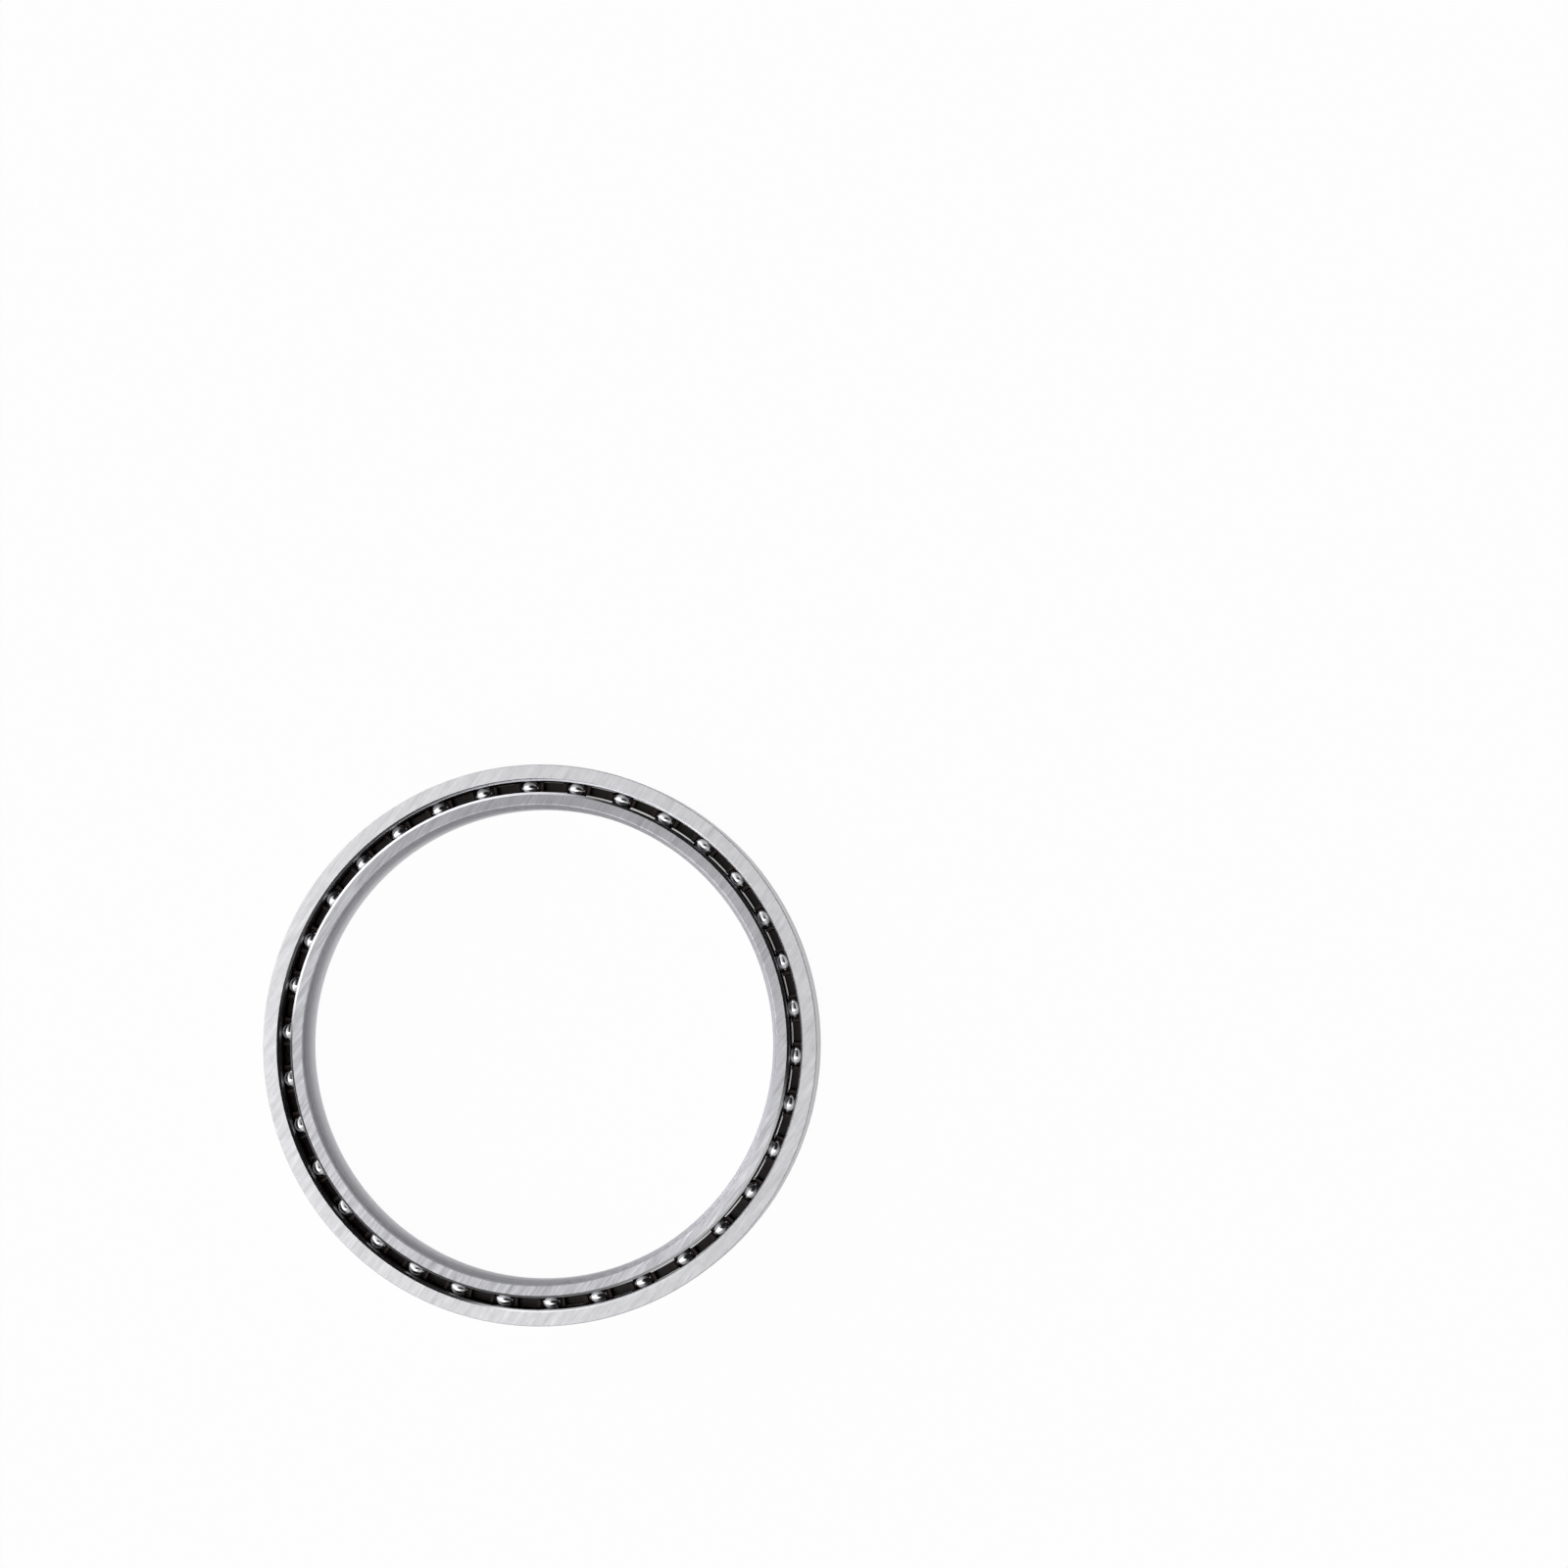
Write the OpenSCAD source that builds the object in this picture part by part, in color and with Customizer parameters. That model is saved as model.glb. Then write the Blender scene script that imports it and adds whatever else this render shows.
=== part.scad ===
// Open thin-section ball bearing: two slim ground steel rings, a circle of steel balls that
// roll in a groove in each ring, and a moulded crown cage that snaps over the balls from one
// side and keeps them apart.
// The bearing turns about Z. The origin is its centre, on the axis at mid width.

/* [Rings] */
// Diameter of the inner ring's bore, which fits a shaft
bore_d = 101.6; // [76.2:0.1:203.2]
// Radial thickness of the whole bearing, from the bore to the outside
section_t = 9.525; // [8.5:0.025:13]
// Width of both rings along the axis
ring_w = 9.525; // [8.5:0.025:14]
// Corner radius of the inner ring at the two ends of its bore
bore_corner_r = 1; // [0.4:0.1:1.5]
// Corner radius of the outer ring at the two ends of its outside
outside_corner_r = 0.25; // [0.1:0.05:1]
// Radial opening between the lands of the two rings
land_gap = 2.5; // [2.2:0.05:3.2]
// Width of the bevel where a land meets a side face, along the face
land_bevel_w = 0.5; // [0.1:0.05:0.8]
// Depth of that bevel on the outer ring, along its land
outer_bevel_h = 0.5; // [0.1:0.05:0.8]
// Depth of that bevel on the inner ring, along its land
inner_bevel_h = 0.35; // [0.1:0.05:0.8]

/* [Balls] */
// Diameter of one ball
ball_d = 4.7625; // [4.3:0.0125:5.3]
// Number of balls in the circle
ball_count = 34; // [24:1:44]
// Radial gap between a ball and the bottom of each groove
race_play = 0.015; // [0.01:0.005:0.03]
// How much the radius of a groove's arc is larger than a ball's
groove_ease = 0.14; // [0.08:0.02:0.24]

/* [Cage] */
// Gap between the cage and the outer ring's land, which guides it
cage_outer_gap = 0.15; // [0.1:0.01:0.3]
// Gap between the cage and the inner ring's land
cage_inner_gap = 0.38; // [0.15:0.01:0.5]
// Gap between a ball and the wall of its pocket
pocket_play = 0.12; // [0.06:0.02:0.2]
// Thickness of the closed ring under the pockets
cage_base_t = 1; // [0.6:0.1:1.1]
// Height of the snap horns over the centre of a ball
horn_h = 1.3; // [1:0.1:1.6]
// Thickness of a horn beside the widest part of a pocket
horn_t = 0.45; // [0.3:0.05:0.8]
// Width of the lead-in bevel on each horn's tip
lead_in = 0.3; // [0.15:0.05:0.35]
// Depth of the relief between two pockets, from the horns' tips to its floor
relief_depth = 2.3; // [2:0.1:3.4]
// Radius of the fillet at the foot of each horn, in the relief
relief_r = 0.4; // [0.1:0.05:0.6]
// Bevel along the two lower edges of the cage
cage_bevel = 0.3; // [0.1:0.05:0.4]
// Bevel along the inner and outer edge of the horns' tips
tip_bevel = 0.15; // [0.05:0.05:0.25]

/* [Hidden] */
// Every node's name, and the one that is drawn
function ball_name(number) = str("ball_", number < 10 ? "0" : "", number);

// Colours of the ground steel, the polished balls and the dark cage
ring_colour = [0.80, 0.80, 0.82];
ball_colour = [0.88, 0.89, 0.92];
cage_colour = [0.10, 0.08, 0.08];

// Fineness of the preview's curves
ring_fn = 240;
arc_fn = 96;
ball_fn = 64;

// How far a cutting solid runs past the face that it cuts
over = 1;

// The bore, the outside and the circle that the balls' centres lie on
bore_r = bore_d / 2;
outside_r = bore_r + section_t;
pitch_r = bore_r + section_t / 2;
inner_land_r = pitch_r - land_gap / 2;
outer_land_r = pitch_r + land_gap / 2;

// The balls and the grooves on both sides of them
ball_r = ball_d / 2;
ball_step = 360 / ball_count;
groove_r = ball_r + groove_ease;
inner_race_r = pitch_r - ball_r - race_play;
outer_race_r = pitch_r + ball_r + race_play;

// The cage's walls and levels, where level 0 is the plane of the balls' centres
pocket_r = ball_r + pocket_play;
cage_inner_r = inner_land_r + cage_inner_gap;
cage_outer_r = outer_land_r - cage_outer_gap;
cage_bottom = -(pocket_r + cage_base_t);
relief_floor = horn_h - relief_depth;
// Length of a cut that goes right across the cage's wall
cut_l = cage_outer_r - cage_inner_r + 2 * over;
// Half the width of a pocket's mouth at the horns' tips, and of the relief between two pockets
mouth_half_w = sqrt(pow(pocket_r, 2) - pow(horn_h, 2));
relief_half_w = pitch_r * sin(ball_step / 2) - pocket_r - horn_t;

// Waste outside a rounded corner of a section, where turns says which way the corner points,
// in quarter turns from right and up
module round_waste(corner, r, turns) {
    translate(corner) rotate(90 * turns) translate([-r, -r]) difference() {
        square(r + over);
        circle(r, $fn = arc_fn);
    }
}

// Waste outside a bevelled corner of a section. The bevel starts w beside the corner and ends
// h below it, and a negative w or h turns it to the other side
module bevel_waste(corner, w, h) {
    polygon([corner + [2 * w, h], corner + [-w, h], corner + [-w, -2 * h]]);
}

// Outer ring: the housing holds its outside, and the balls run in its inner side
// The section has the radius along X and the bearing's axis along Y
module outer_ring() {
    color(ring_colour) rotate_extrude($fn = ring_fn) difference() {
        translate([outer_land_r, -ring_w / 2]) square([outside_r - outer_land_r, ring_w]);
        for (side = [-1, 1]) {
            round_waste([outside_r, side * ring_w / 2], outside_corner_r, side > 0 ? 0 : 3);
            bevel_waste([outer_land_r, side * ring_w / 2], land_bevel_w, side * outer_bevel_h);
        }
        translate([outer_race_r - groove_r, 0]) circle(groove_r, $fn = arc_fn);
    }
}

// Inner ring: the shaft fills its bore, and the balls run round its outer side
module inner_ring() {
    color(ring_colour) rotate_extrude($fn = ring_fn) difference() {
        translate([bore_r, -ring_w / 2]) square([inner_land_r - bore_r, ring_w]);
        for (side = [-1, 1]) {
            round_waste([bore_r, side * ring_w / 2], bore_corner_r, side > 0 ? 1 : 2);
            bevel_waste([inner_land_r, side * ring_w / 2], -land_bevel_w, side * inner_bevel_h);
        }
        translate([inner_race_r + groove_r, 0]) circle(groove_r, $fn = arc_fn);
    }
}

// Moves what is made at the axis out to the place of ball number 1, 2, 3 and so on
module at_ball(number) {
    rotate([0, 0, (number - 1) * ball_step]) translate([pitch_r, 0, 0]) children();
}

// One ball
module ball(number) {
    color(ball_colour) at_ball(number) sphere(ball_r, $fn = ball_fn);
}

// Ring that the cage is cut from, as high as the horns, with its four edges bevelled
module cage_blank() {
    rotate_extrude($fn = ring_fn) polygon([
        [cage_inner_r + tip_bevel, horn_h],
        [cage_inner_r, horn_h - tip_bevel],
        [cage_inner_r, cage_bottom + cage_bevel],
        [cage_inner_r + cage_bevel, cage_bottom],
        [cage_outer_r - cage_bevel, cage_bottom],
        [cage_outer_r, cage_bottom + cage_bevel],
        [cage_outer_r, horn_h - tip_bevel],
        [cage_outer_r - tip_bevel, horn_h]
    ]);
}

// Cuts straight across the cage's wall, along its radius, with an outline that has the
// distance along the wall as X and the height as Y
module across_wall() {
    rotate([90, 0, 90]) translate([0, 0, -cut_l / 2]) linear_extrude(cut_l) children();
}

// Lead-in of a pocket's mouth, which bevels the tips of the two horns beside a ball
module mouth_wedge() {
    low = horn_h - lead_in;
    top_half_w = mouth_half_w + lead_in + over;
    across_wall() polygon([
        [-mouth_half_w, low],
        [mouth_half_w, low],
        [top_half_w, horn_h + over],
        [-top_half_w, horn_h + over]
    ]);
}

// Relief between two pockets, which frees the horns so that they can spring, with a round
// fillet at the foot of each
module relief() {
    across_wall() {
        translate([-relief_half_w, relief_floor + relief_r])
            square([2 * relief_half_w, horn_h - relief_floor - relief_r + over]);
        translate([-relief_half_w + relief_r, relief_floor])
            square([2 * (relief_half_w - relief_r), 2 * relief_r]);
        for (side = [-1, 1]) {
            translate([side * (relief_half_w - relief_r), relief_floor + relief_r])
                circle(relief_r, $fn = arc_fn);
        }
    }
}

// Crown cage: round pockets, open on one side between pairs of springy horns, over a closed ring
module cage() {
    color(cage_colour) difference() {
        cage_blank();
        for (number = [1:ball_count]) {
            at_ball(number) sphere(pocket_r, $fn = ball_fn);
            at_ball(number) mouth_wedge();
            at_ball(number + 0.5) relief();
        }
    }
}

outer_ring();
inner_ring();
cage();
for (number = [1:ball_count]) {
    ball(number);
}
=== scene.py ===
# %% [markdown]
# # An open thin-section ball bearing
# Two slim rings of ground steel turn on each other over a circle of small balls, and a dark
# moulded cage keeps the balls apart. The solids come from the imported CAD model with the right
# shapes and sizes, so nothing is shaped here. This lesson gives each of them the finish of the
# real thing: fine grinding strokes on the side faces, round grinding lines on the outside and
# in the bore, lapped balls that mirror the room, and a dull moulded cage with a trace of oil.
# First it builds the white tent that such a bearing is pictured in, because polished steel
# shows little else.

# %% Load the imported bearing
import math

import bpy
from mathutils import Matrix, Vector


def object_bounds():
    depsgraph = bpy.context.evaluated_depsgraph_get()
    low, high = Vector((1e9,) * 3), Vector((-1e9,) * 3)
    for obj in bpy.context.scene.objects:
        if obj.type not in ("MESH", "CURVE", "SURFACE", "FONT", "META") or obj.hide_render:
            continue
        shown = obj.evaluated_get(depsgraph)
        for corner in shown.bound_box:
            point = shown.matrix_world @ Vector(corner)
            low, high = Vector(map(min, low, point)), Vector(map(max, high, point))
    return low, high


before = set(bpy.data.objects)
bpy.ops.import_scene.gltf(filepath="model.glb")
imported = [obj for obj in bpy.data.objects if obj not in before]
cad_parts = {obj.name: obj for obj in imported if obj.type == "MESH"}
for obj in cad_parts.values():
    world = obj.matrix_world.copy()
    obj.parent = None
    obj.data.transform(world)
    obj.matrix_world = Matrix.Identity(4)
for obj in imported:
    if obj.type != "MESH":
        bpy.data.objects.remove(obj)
cad_box = [list(corner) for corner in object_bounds()]
balls = sorted(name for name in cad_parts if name.startswith("ball_"))
print("Loaded", len(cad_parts), "nodes, of which", len(balls), "are balls")

# %% [markdown]
# ## The camera
# The picture is taken almost straight from above, with the bearing in its lower left part. A
# camera can be placed by eye, but here its place was worked out from the ellipses that the ring
# edges make in the picture, which also gives the distance and the lens. The bearing can lie on
# the table at any angle about its axis, so one more angle is needed: how far the picture is
# turned to bring the first ball to where it shows.

# %% Place the camera
picture_turn = math.radians(8.1)
tilt_x, tilt_y = -0.0571, -0.0949
aside, ahead, distance = -0.0525243, -0.0562357, 0.7213053
focal_pixels, picture_pixels, sensor_mm = 3398.441, 1600, 36.0
nearest, farthest = 0.01, 50


def as_seen(degrees):
    """An angle counted in the picture from its right side, in the bearing's own frame."""
    return math.radians(degrees) - picture_turn


tilt = Matrix.Rotation(math.hypot(tilt_x, tilt_y), 3, Vector((tilt_x, tilt_y, 0)))
facing = Matrix.Rotation(-picture_turn, 3, "Z") @ tilt.transposed()
camera = bpy.data.objects.new("camera", bpy.data.cameras.new("camera"))
bpy.context.collection.objects.link(camera)
camera.matrix_world = (Matrix.Translation(facing @ Vector((-aside, -ahead, distance)))
                       @ facing.to_4x4())
camera.data.sensor_width = sensor_mm
camera.data.lens = focal_pixels / picture_pixels * sensor_mm
camera.data.clip_start, camera.data.clip_end = nearest, farthest
bpy.context.scene.camera = camera
print("Camera", round(distance * 1000), "mm away with a lens of", round(camera.data.lens, 1), "mm")

# %% [markdown]
# ## Helpers for materials
# A material is a small tree of nodes. Each node could be made and wired by hand, in four or
# five lines, but most steps here are the same few: make a node and fill its inputs, do one
# sum, or map one span of values to another. One helper for each keeps the trees readable.

# %% Make the helpers
def new_material(name):
    """An empty material and its tree, ready for nodes."""
    material = bpy.data.materials.new(name)
    material.use_nodes = True
    material.node_tree.nodes.clear()
    return material, material.node_tree


def node(tree, kind, inputs=None, **settings):
    """Adds a node, sets its own settings, and links or fills the inputs that are named."""
    made = tree.nodes.new(kind)
    for key, value in settings.items():
        setattr(made, key, value)
    for key, value in (inputs or {}).items():
        if isinstance(value, bpy.types.NodeSocket):
            tree.links.new(value, made.inputs[key])
        else:
            made.inputs[key].default_value = value
    return made


def calc(tree, operation, *values):
    """One step of arithmetic on values or numbers."""
    return node(tree, "ShaderNodeMath", dict(enumerate(values)), operation=operation).outputs[0]


def ramp(tree, value, start, end, low=0.0, high=1.0, **settings):
    """Low where a value is at start, high where it is at end, and between them in between."""
    return node(tree, "ShaderNodeMapRange", {"Value": value, "From Min": start, "From Max": end,
                                             "To Min": low, "To Max": high}, **settings).outputs[0]


def vector_math(tree, operation, *values):
    """One step of arithmetic on vectors. A dot product or a length puts out a value."""
    made = node(tree, "ShaderNodeVectorMath", dict(enumerate(values)), operation=operation)
    return made.outputs["Value" if operation in ("LENGTH", "DOT_PRODUCT") else "Vector"]


print("Made the helpers", new_material.__name__, node.__name__, calc.__name__, ramp.__name__,
      "and", vector_math.__name__)

# %% [markdown]
# ## The table
# The bearing lies on a plain white sheet, a wide disc just under the lower faces of the rings.
# Plain white paper would do, but under soft light it comes out a little grey. So nearly all
# that the camera sees of it, and half of what the steel mirrors, is plain white light, and the
# rest is paper that takes the light and keeps the bearing's soft shadow. Under the rings the
# white is halved, because there the real paper lies in the dark.

# %% Lay the white sheet
seen_white, mirrored_white, slot_white, paper_grey = 0.97, 0.5, 0.5, 0.95
pitch_r, dark_until, white_from = 0.0555625, 0.0035, 0.0045
sheet_r, sheet_corners, sheet_gap = 6.0, 96, 0.00002


def sheet_disc(radius, height, corners):
    """A flat disc whose edge has many short steps."""
    mesh = bpy.data.meshes.new("white_sheet")
    turns = [2 * math.pi * step / corners for step in range(corners)]
    edge = [(radius * math.cos(turn), radius * math.sin(turn), height) for turn in turns]
    mesh.from_pydata(edge, [], [list(range(corners))])
    return mesh


sheet_material, tree = new_material("white_sheet")
ray = node(tree, "ShaderNodeLightPath").outputs
direct = calc(tree, "MAXIMUM", ray["Is Camera Ray"], ray["Is Transmission Ray"])
direct = calc(tree, "MULTIPLY", direct, seen_white)
mirrored = calc(tree, "MULTIPLY", ray["Is Glossy Ray"], mirrored_white)
share = calc(tree, "MAXIMUM", direct, mirrored)
from_axis = vector_math(tree, "LENGTH", node(tree, "ShaderNodeTexCoord").outputs["Object"])
from_pitch = calc(tree, "ABSOLUTE", calc(tree, "SUBTRACT", from_axis, pitch_r))
clear = ramp(tree, from_pitch, dark_until, white_from, slot_white, 1.0)
share = calc(tree, "MULTIPLY", share, clear)
paper = node(tree, "ShaderNodeBsdfDiffuse", {"Color": (paper_grey,) * 3 + (1,)}).outputs[0]
white = node(tree, "ShaderNodeEmission", {"Color": (1, 1, 1, 1), "Strength": 1.0}).outputs[0]
both = node(tree, "ShaderNodeMixShader", {0: share, 1: paper, 2: white}).outputs[0]
node(tree, "ShaderNodeOutputMaterial", {"Surface": both})

lowest = cad_box[0][2]
sheet = bpy.data.objects.new("white_sheet", sheet_disc(sheet_r, lowest - sheet_gap, sheet_corners))
bpy.context.collection.objects.link(sheet)
sheet.data.materials.append(sheet_material)
print("Sheet lies under the rings at", round(lowest * 1000, 3), "mm")

# %% [markdown]
# ## The tent
# Polished steel is lit by what it mirrors, so the light is one soft surrounding. It could be
# built from lamps and white cards, but their hard edges would show in every ball, so it is
# drawn in the world by direction alone. Each part of it needs a direction, named by its
# azimuth in the picture and its elevation over the table, and a soft step along it, so that
# it fades into the next.

# %% Set up the tent
world = bpy.data.worlds.new("tent")
bpy.context.scene.world = world
world.use_nodes = True
tree = world.node_tree
tree.nodes.clear()
direction = node(tree, "ShaderNodeTexCoord").outputs["Generated"]


def mix(tree, share, a, b):
    """Value a where the share is 0, and value b where it is 1."""
    return node(tree, "ShaderNodeMix", {"Factor": share, "A": a, "B": b},
                data_type="FLOAT").outputs["Result"]


def towards(azimuth, elevation):
    """The direction with that azimuth in the picture and that elevation over the table."""
    turn, rise = as_seen(azimuth), math.radians(elevation)
    level = math.cos(rise)
    return Vector((math.cos(turn) * level, math.sin(turn) * level, math.sin(rise)))


def reach(axis, none, full):
    """0 where a direction's share along an axis is none, 1 where it is full, soft between them."""
    along = vector_math(tree, "DOT_PRODUCT", direction, axis)
    return ramp(tree, along, none, full, interpolation_type="SMOOTHSTEP")


print("The right side of the picture lies towards", [round(part, 3) for part in towards(0, 0)])

# %% [markdown]
# ## Bright and dark parts of the tent
# What the balls mirror in the picture says how the tent looked: brightest straight overhead,
# less so halfway down and dimmer still at the lower right, with a dark patch from the upper
# right to past the top, a strong panel low at the upper left, and a dim room all round the
# edge. The parts could be added up, but where two overlap the sum comes out too bright. Laid
# over each other, each by a mask of its own, they keep the brightness that they are given.

# %% Draw the parts of the tent
top_light, halfway_light, lower_right_light = 1.95, 1.2, 0.5
room_light, shade_light, panel_light = 0.05, 0.012, 1.5
zenith_share, halfway_from, halfway_to = (0.20, 0.42), 72, 52
shade_side, shade_share, shade_falloff = 82, (-0.28, 0.02), 1.4
lit_side, lit_share = 0, (0.25, -0.75)
panel_side, panel_fades, panel_core, panel_top = 132, 50, 38, (0.22, 0.38)
lower_right_side, lower_right_share = -52, (0.0, 0.65)

zenith = towards(0, 90)
overhead = reach(zenith, *zenith_share)
halfway = reach(zenith, math.sin(math.radians(halfway_from)), math.sin(math.radians(halfway_to)))
lit = calc(tree, "POWER", reach(towards(lit_side, 0), *lit_share), shade_falloff)
shade = calc(tree, "MULTIPLY", calc(tree, "SUBTRACT", 1.0, lit),
             reach(towards(shade_side, 0), *shade_share))
sideways = reach(towards(panel_side, 0), math.cos(math.radians(panel_fades)),
                 math.cos(math.radians(panel_core)))
panel = calc(tree, "MULTIPLY", sideways, calc(tree, "SUBTRACT", 1.0, reach(zenith, *panel_top)))
lower_right = reach(towards(lower_right_side, 0), *lower_right_share)

light = mix(tree, halfway, top_light, halfway_light)
light = mix(tree, lower_right, light, lower_right_light)
light = mix(tree, overhead, room_light, light)
light = mix(tree, shade, light, shade_light)
light = mix(tree, panel, light, panel_light)
print("Tent made with", len(tree.nodes), "nodes")

# %% [markdown]
# ## White behind the bearing
# Seen past the edge of the sheet, the dim room would draw a dark line across the picture. A
# still wider sheet only moves that line. Here the world is plain white for the rays that come
# straight from the camera, and stays a tent for all that the steel mirrors.

# %% Whiten the background
background_light = 1.0
behind = node(tree, "ShaderNodeLightPath").outputs["Is Camera Ray"]
light = mix(tree, behind, light, background_light)
tone = node(tree, "ShaderNodeCombineColor", {0: light, 1: light, 2: light}).outputs[0]
air = node(tree, "ShaderNodeBackground", {"Color": tone, "Strength": 1.0}).outputs[0]
node(tree, "ShaderNodeOutputWorld", {"Surface": air})
print("World has", len(tree.nodes), "nodes")

# %% [markdown]
# ## Grinding strokes
# A ground face is covered by fine strokes, each much longer than it is wide. They could be
# cut into the mesh, but thousands of strokes that a fingernail can't feel are finish, not form.
# A noise that is squeezed across the strokes and stretched along them gives the same look. It
# is one group with the direction, fineness and length of the strokes as its inputs, so that
# each material sets its own.

# %% Build the stroke group
def new_group(name, ins, outs):
    """An empty node group with named inputs and outputs."""
    group = bpy.data.node_groups.new(name, "ShaderNodeTree")
    for label, value in ins.items():
        socket = group.interface.new_socket(label, in_out="INPUT", socket_type="NodeSocketFloat")
        socket.default_value = value
    for label in outs:
        group.interface.new_socket(label, in_out="OUTPUT", socket_type="NodeSocketFloat")
    return group, group.nodes.new("NodeGroupInput").outputs, group.nodes.new("NodeGroupOutput")


def put_out(group, result, values):
    """Links the values that a group puts out, by their names."""
    for label, value in values.items():
        group.links.new(value, result.inputs[label])
    print("Group", group.name, "has", len(group.nodes), "nodes")


mm_per_m, grain_detail, grain_roughness = 1000.0, 3.0, 0.65
noise_low, noise_high = 0.3, 0.7
strokes, given, result = new_group("grinding_strokes", {"Direction": 0.0, "Strokes per mm": 3.0,
                                                        "Length": 30.0, "Layer": 0.0}, ["Strokes"])
place = node(strokes, "ShaderNodeTexCoord").outputs["Object"]
turned = node(strokes, "ShaderNodeVectorRotate", {"Vector": place, "Angle": given["Direction"]},
              rotation_type="Z_AXIS").outputs[0]
across = calc(strokes, "MULTIPLY", given["Strokes per mm"], mm_per_m)
along = calc(strokes, "DIVIDE", across, given["Length"])
squeeze = node(strokes, "ShaderNodeCombineXYZ", {0: along, 1: across, 2: along}).outputs[0]
fine = vector_math(strokes, "MULTIPLY", turned, squeeze)
grain = node(strokes, "ShaderNodeTexNoise", {"Vector": fine, "W": given["Layer"], "Scale": 1.0,
                                             "Detail": grain_detail, "Roughness": grain_roughness},
             noise_dimensions="4D").outputs[0]
put_out(strokes, result, {"Strokes": ramp(strokes, grain, noise_low, noise_high)})

# %% [markdown]
# ## Which surface is which
# One ring has side faces ground flat, an outside or a bore ground round, corners left from
# turning, and on its slot side a land between two bevels, with a groove honed to a mirror. Each
# could be given its own material by picking faces, but the shape itself tells them apart: side
# faces look along the axis, round walls look away from it, corners lie between, and the slot's
# sides and the groove lie close to the circle of the balls.

# %% Build the surface group
half_slot, groove_reach, groove_height = 0.00177, 0.0026, 0.00215
side_from, side_full = 0.97, 0.998
wall_from, wall_full = 0.2, 0.02

surfaces, given, result = new_group("ring_surfaces", {}, ["Side face", "Round wall", "Slot side",
                                                          "Groove", "Radius", "Turn"])
source = node(surfaces, "ShaderNodeTexCoord").outputs
upright = node(surfaces, "ShaderNodeSeparateXYZ", {0: source["Normal"]}).outputs["Z"]
upright = calc(surfaces, "ABSOLUTE", upright)
spot = node(surfaces, "ShaderNodeSeparateXYZ", {0: source["Object"]}).outputs
flat = node(surfaces, "ShaderNodeCombineXYZ", {0: spot["X"], 1: spot["Y"]}).outputs[0]
radius = vector_math(surfaces, "LENGTH", flat)
apart = calc(surfaces, "ABSOLUTE", calc(surfaces, "SUBTRACT", radius, pitch_r))
near_balls = calc(surfaces, "LESS_THAN", apart, groove_reach)
middle = calc(surfaces, "LESS_THAN", calc(surfaces, "ABSOLUTE", spot["Z"]), groove_height)
put_out(surfaces, result, {
    "Side face": ramp(surfaces, upright, side_from, side_full),
    "Round wall": ramp(surfaces, upright, wall_from, wall_full),
    "Slot side": calc(surfaces, "LESS_THAN", apart, half_slot),
    "Groove": calc(surfaces, "MULTIPLY", near_balls, middle),
    "Radius": radius,
    "Turn": calc(surfaces, "ARCTAN2", spot["Y"], spot["X"])})

# %% [markdown]
# ## The finish of a ring
# The strokes of the flat grinder run straight across both rings in one direction, a fine set
# and a coarser one under it, and the lines on the outside and in the bore run round. Each ring
# could have them wired into its own material, but as one group they are built once, and each
# ring only sets its own values. The group starts with these marks, because both the tone and
# the roughness follow them.

# %% Begin the finish group with its marks
def noise(tree, vector, scale, detail, **inputs):
    """Cloudy noise about 0.5, with its fineness and its amount of fine detail."""
    return node(tree, "ShaderNodeTexNoise", {"Vector": vector, "Scale": scale, "Detail": detail,
                                             **inputs}).outputs[0]


stroke_direction, coarse_direction = -as_seen(55), -as_seen(50)
fine_strokes, coarse_strokes, fine_length, coarse_length = 2.0, 0.9, 16.0, 9.0
coarse_share, coarse_layer = 0.4, 3.0
lines_round, lines_across = 3.0, 9000.0

finish, given, result = new_group("ring_finish", {
    "Layer": 0.0, "Contrast": 0.15, "Face roughness": 0.4, "Wall painted shading below": 1.0,
    "Wall painted shading above": 1.0, "Corner painted shading": 1.0, "Corner roughness": 0.6, "Bevel painted shading": 1.0,
    "Land painted shading": 1.0, "Land roughness": 0.4}, ["Tone and painted shading", "Roughness", "Depth"])
kinds = node(finish, "ShaderNodeGroup", node_tree=surfaces).outputs
fine = node(finish, "ShaderNodeGroup", {
    "Direction": stroke_direction, "Strokes per mm": fine_strokes, "Length": fine_length,
    "Layer": given["Layer"]}, node_tree=strokes).outputs[0]
coarse = node(finish, "ShaderNodeGroup", {
    "Direction": coarse_direction, "Strokes per mm": coarse_strokes, "Length": coarse_length,
    "Layer": calc(finish, "ADD", given["Layer"], coarse_layer)}, node_tree=strokes).outputs[0]
straight = mix(finish, coarse_share, fine, coarse)
place = node(finish, "ShaderNodeTexCoord").outputs["Object"]
level = node(finish, "ShaderNodeSeparateXYZ", {0: place}).outputs["Z"]
ringed = node(finish, "ShaderNodeCombineXYZ", {0: kinds["Turn"], 1: kinds["Radius"], 2: level})
ringed = vector_math(finish, "MULTIPLY", ringed.outputs[0],
                     (lines_round, lines_across, lines_across))
marks = mix(finish, kinds["Side face"], noise(finish, ringed, 1.0, 2.0), straight)
print("Marks made with", len(finish.nodes), "nodes, strokes", fine_length, "times as long as wide")
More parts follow.
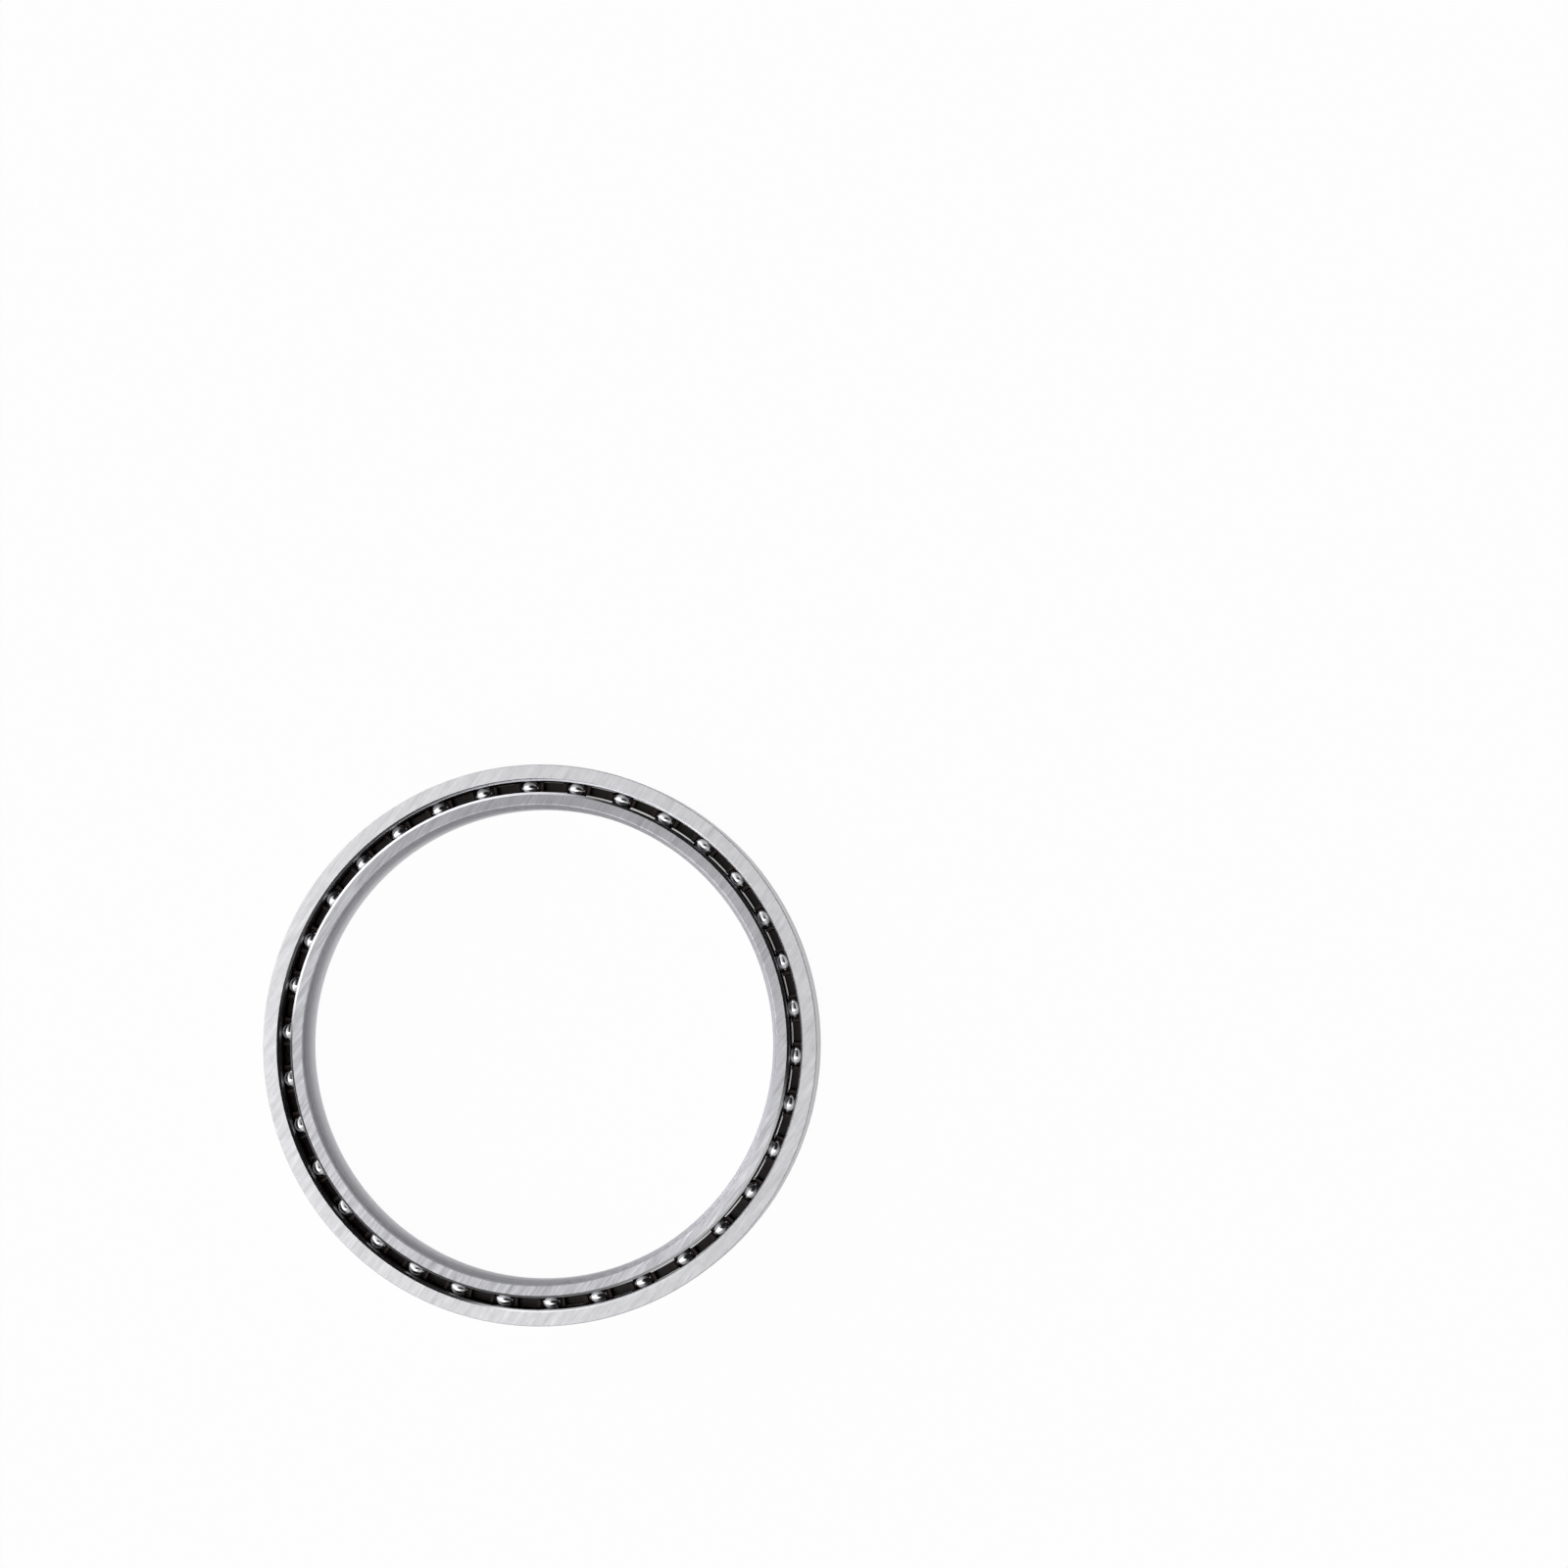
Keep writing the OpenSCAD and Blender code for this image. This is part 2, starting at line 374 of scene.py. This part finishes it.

# %% [markdown]
# ## Tone, painted shading and roughness of each surface
# Each surface of a ring has a roughness of its own: satin side faces, duller corners, smooth
# bevels, and a groove like a mirror. Each has a tone too: the corners, bevels and lands get
# painted light and painted shade that lighten or darken their thin lines, the bore wall is
# painted lighter low down and darker high up, and the groove is darker. Faint patches lie over
# all. Cutting the ring into one material for each surface would put a hard border between them.
# Laid over each other by their masks, they run together as they do on the real ring.

# %% Finish the group with tone and roughness
patch_fineness, patch_change, face_rough_change = 700.0, 0.035, 0.07
wall_end, groove_depth = 0.0042, 0.5
wall_rough, bevel_rough, groove_rough, groove_tone = 0.5, 0.12, 0.07, 0.6

darkest = calc(finish, "SUBTRACT", 1.0, given["Contrast"])
lightest = calc(finish, "ADD", 1.0, given["Contrast"])
tone = ramp(finish, marks, 0.0, 1.0, darkest, lightest)
patches = noise(finish, place, patch_fineness, 2.0)
patches = ramp(finish, patches, noise_low, noise_high, 1 - patch_change, 1 + patch_change)
tone = calc(finish, "MULTIPLY", tone, patches)
# The bore wall is painted lighter low down and darker high up: painted light and painted shade.
wall_painted_shading = ramp(finish, level, -wall_end, wall_end, given["Wall painted shading below"],
                 given["Wall painted shading above"])
roughest = calc(finish, "ADD", given["Face roughness"], face_rough_change)
smoothest = calc(finish, "SUBTRACT", given["Face roughness"], face_rough_change)
face_rough = ramp(finish, straight, 0.0, 1.0, roughest, smoothest)
land = calc(finish, "MULTIPLY", kinds["Slot side"], kinds["Round wall"])
# Corners, bevels, lands and the bore wall take painted light and painted shade as their tones; the
# groove is darker.
own_tone_and_shading, own_rough = given["Corner painted shading"], given["Corner roughness"]
for where, its_tone_and_shading, its_rough in [
        (kinds["Round wall"], wall_painted_shading, wall_rough),
        (kinds["Slot side"], given["Bevel painted shading"], bevel_rough),
        (land, given["Land painted shading"], given["Land roughness"]),
        (kinds["Groove"], groove_tone, groove_rough),
        (kinds["Side face"], 1.0, face_rough)]:
    own_tone_and_shading = mix(finish, where, own_tone_and_shading, its_tone_and_shading)
    own_rough = mix(finish, where, own_rough, its_rough)
put_out(finish, result, {"Tone and painted shading": calc(finish, "MULTIPLY", tone, own_tone_and_shading), "Roughness": own_rough,
                         "Depth": mix(finish, kinds["Groove"], marks, groove_depth)})

# %% [markdown]
# ## Painted light and shade round a ring
# Straight strokes meet a ring at every angle in one turn, and they throw the light sideways,
# so a ground face grows lighter and darker as it runs round. Here that light and shade is
# painted into the colour. The shader's own anisotropy could do a part of this, but it can't be
# set to match what is seen. A few waves of painted light and shade can, each with the place of
# its crest, its number of crests and its strength.

# %% Build the group of painted light and shade waves
shading_waves, given, result = new_group("painted_light_waves", {"Crest": 0.0, "Times": 1.0, "Share": 0.1},
                                 ["Painted light and shade"])
turn = node(shading_waves, "ShaderNodeGroup", node_tree=surfaces).outputs["Turn"]
wave = calc(shading_waves, "MULTIPLY", calc(shading_waves, "SUBTRACT", turn, given["Crest"]), given["Times"])
wave = calc(shading_waves, "COSINE", wave)
put_out(shading_waves, result, {"Painted light and shade": calc(shading_waves, "MULTIPLY_ADD", wave, given["Share"], 1.0)})

# %% [markdown]
# ## Ground steel
# Both rings are hardened steel, ground all over. One material could serve both, but each has
# its own. The inner ring is ground smoother, so it mirrors the dark part of the tent more
# clearly and looks darker, and its colour is set darker too, as painted shade. The strokes are
# nearly too shallow to catch the light, so the bump that stands for them is less than a
# hundredth of a millimetre deep.

# %% Make the steel of the rings
scratch_strength, scratch_depth = 0.35, 0.00002


def ground_steel(name, colour, values, painted_waves):
    """Steel with one ring's finish values, and its painted light and shade waves of crest, times
    and share.
    """
    material, tree = new_material(name)
    look = node(tree, "ShaderNodeGroup", values, node_tree=finish).outputs
    tone = look["Tone and painted shading"]
    # Each wave lightens and darkens the colour round the ring: painted light and painted shade.
    for crest, times, share in painted_waves:
        wave = {"Crest": as_seen(crest), "Times": times, "Share": share}
        painted_change = node(tree, "ShaderNodeGroup", wave, node_tree=shading_waves).outputs[0]
        tone = calc(tree, "MULTIPLY", tone, painted_change)
    base = node(tree, "ShaderNodeVectorMath", {0: colour, "Scale": tone},
                operation="SCALE").outputs[0]
    bump = node(tree, "ShaderNodeBump", {"Strength": scratch_strength, "Distance": scratch_depth,
                                         "Height": look["Depth"]}).outputs[0]
    steel = node(tree, "ShaderNodeBsdfPrincipled", {
        "Base Color": base, "Metallic": 1.0, "Roughness": look["Roughness"], "Normal": bump})
    node(tree, "ShaderNodeOutputMaterial", {"Surface": steel.outputs[0]})
    return material


def dress(names, material):
    """Gives CAD nodes their material, keeping their meshes as they are."""
    for name in names:
        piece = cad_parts[name]
        piece.data.materials.clear()
        piece.data.materials.append(material)


# The wall, corner, bevel and land values of each ring are painted light and painted shade.
outer_steel = ground_steel("outer_ring_steel", (0.835, 0.835, 0.855), {
    "Layer": 0.0, "Contrast": 0.14, "Face roughness": 0.47, "Wall painted shading below": 1.0,
    "Wall painted shading above": 1.0, "Corner painted shading": 1.0, "Corner roughness": 0.6, "Bevel painted shading": 0.85,
    "Land painted shading": 0.45, "Land roughness": 0.3}, [(125, 1, 0.045)])
# The inner ring's colour is set darker than the outer's: painted shade for the dark it mirrors.
inner_steel = ground_steel("inner_ring_steel", (0.57, 0.57, 0.598), {
    "Layer": 5.0, "Contrast": 0.37, "Face roughness": 0.28, "Wall painted shading below": 1.7,
    "Wall painted shading above": 0.5, "Corner painted shading": 1.2, "Corner roughness": 0.8, "Bevel painted shading": 1.6,
    "Land painted shading": 1.1, "Land roughness": 0.4},
    [(351, 1, 0.11), (173, 2, 0.12), (320, 3, 0.03), (320, 4, 0.045)])
dress(["outer_ring"], outer_steel)
dress(["inner_ring"], inner_steel)
print("Dressed the rings with", outer_steel.name, "and", inner_steel.name)

# %% [markdown]
# ## Polished balls
# The balls are lapped until they mirror. Highlights could be painted on, but they would roll
# round with the balls, where a real mirror keeps them turned to the light. What breaks the
# mirror is a thin haze of oil and a few hairlines from running, so the roughness changes a
# little from place to place.

# %% Make the steel of the balls
ball_colour = (0.92, 0.925, 0.935)
clean_rough, hazy_rough, tone_change = 0.015, 0.06, 0.03
haze_fineness, haze_low, haze_high = 900.0, 0.35, 0.7
hairlines_per_mm, hairline_strength, hairline_depth = 14.0, 0.03, 0.000005

ball_steel, tree = new_material("ball_steel")
place = node(tree, "ShaderNodeTexCoord").outputs["Object"]
haze = noise(tree, place, haze_fineness, 3.0)
rough = ramp(tree, haze, haze_low, haze_high, clean_rough, hazy_rough)
hair = node(tree, "ShaderNodeGroup", {"Strokes per mm": hairlines_per_mm}, node_tree=strokes)
tone = ramp(tree, haze, 0.0, 1.0, 1 - tone_change, 1 + tone_change)
base = node(tree, "ShaderNodeVectorMath", {0: ball_colour, "Scale": tone},
            operation="SCALE").outputs[0]
bump = node(tree, "ShaderNodeBump", {"Strength": hairline_strength, "Distance": hairline_depth,
                                     "Height": hair.outputs[0]}).outputs[0]
steel = node(tree, "ShaderNodeBsdfPrincipled", {
    "Base Color": base, "Metallic": 1.0, "Roughness": rough, "Normal": bump})
node(tree, "ShaderNodeOutputMaterial", {"Surface": steel.outputs[0]})
dress(balls, ball_steel)
print("Dressed", len(balls), "balls")

# %% [markdown]
# ## Moulded cage
# The cage is moulded from a tough, nearly black brown plastic. Its skin is dull with a fine
# grain from the mould, faintly streaked where the melt flowed round, and wet with oil in spots.
# A plain dark colour would look like a hole between the balls, so the streaks change both the
# colour and the roughness, and the grain is a fine bump.

# %% Make the plastic of the cage
dark_brown, light_brown = (0.014, 0.008, 0.007, 1), (0.046, 0.026, 0.023, 1)
wet_rough, dry_rough, cage_shine = 0.26, 0.42, 0.25
grain_fineness, grain_strength, grain_depth = 6000.0, 0.25, 0.00001
flow_fineness, flow_bend, flow_low, flow_high = 500.0, 0.6, 0.35, 0.65

cage_plastic, tree = new_material("cage_plastic")
place = node(tree, "ShaderNodeTexCoord").outputs["Object"]
grain = noise(tree, place, grain_fineness, 2.0)
flow = noise(tree, place, flow_fineness, 4.0, Distortion=flow_bend)
streaks = ramp(tree, flow, noise_low, noise_high)
base = node(tree, "ShaderNodeMix", {"Factor": streaks, "A": dark_brown, "B": light_brown},
            data_type="RGBA")
rough = ramp(tree, flow, flow_low, flow_high, wet_rough, dry_rough)
bump = node(tree, "ShaderNodeBump", {"Strength": grain_strength, "Distance": grain_depth,
                                     "Height": grain})
plastic = node(tree, "ShaderNodeBsdfPrincipled", {
    "Base Color": base.outputs[2], "Roughness": rough, "Specular IOR Level": cage_shine,
    "Normal": bump.outputs[0]})
node(tree, "ShaderNodeOutputMaterial", {"Surface": plastic.outputs[0]})
dress(["cage"], cage_plastic)
print("Dressed the cage")

# %% [markdown]
# ## Finish
# At the end the colours are shown as they are, through the standard view.

# %% Finish
bpy.context.scene.view_settings.view_transform = "Standard"
